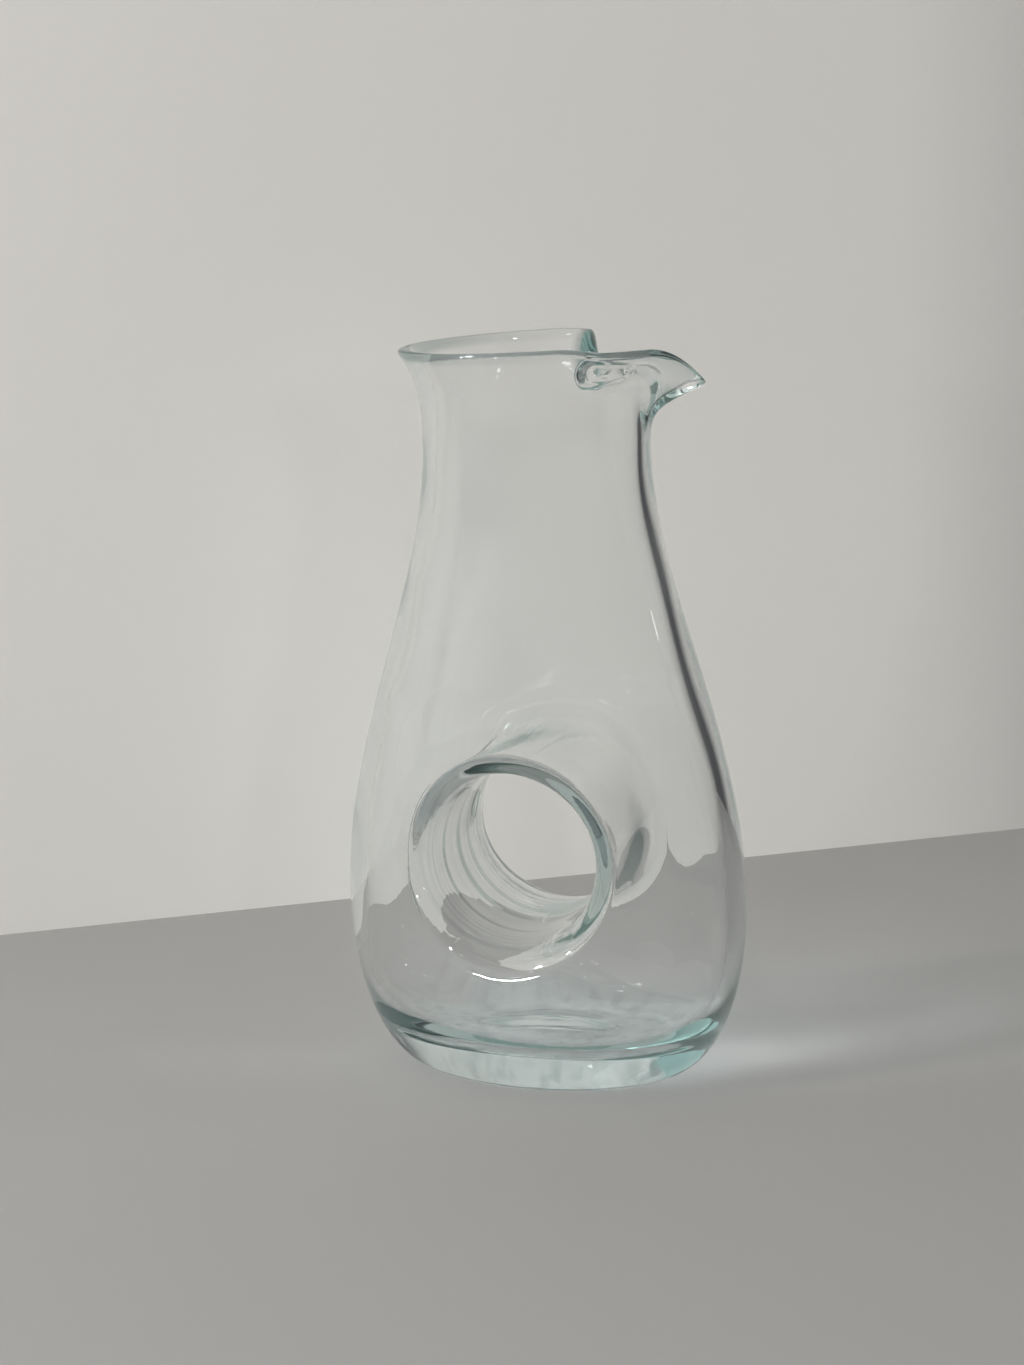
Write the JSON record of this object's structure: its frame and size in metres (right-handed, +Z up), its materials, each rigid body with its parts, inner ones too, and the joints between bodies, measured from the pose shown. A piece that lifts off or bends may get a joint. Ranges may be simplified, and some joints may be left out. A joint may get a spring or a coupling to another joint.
{
  "type": "pierced glass decanter",
  "caption": "Thick hand-blown glass decanter with an oval belly pierced by a round finger hole, a narrow neck and a pouring lip pulled out of the rim.",
  "frame": {"origin": "middle of the foot, on the surface that the decanter stands on", "axes": "+Z up, +X the long way of the oval, towards the spout's side, Y the way the hole runs"},
  "size_m": [0.1399, 0.0862, 0.2506],
  "materials": {
    "clear_glass": "clear, fire-polished, pale aqua where the glass is thick"
  },
  "bodies": {
    "root": {"base": "clear_glass", "belly": "clear_glass", "hole_sleeve": "clear_glass", "neck": "clear_glass", "rim": "clear_glass", "spout": "clear_glass"}
  },
  "joints": []
}
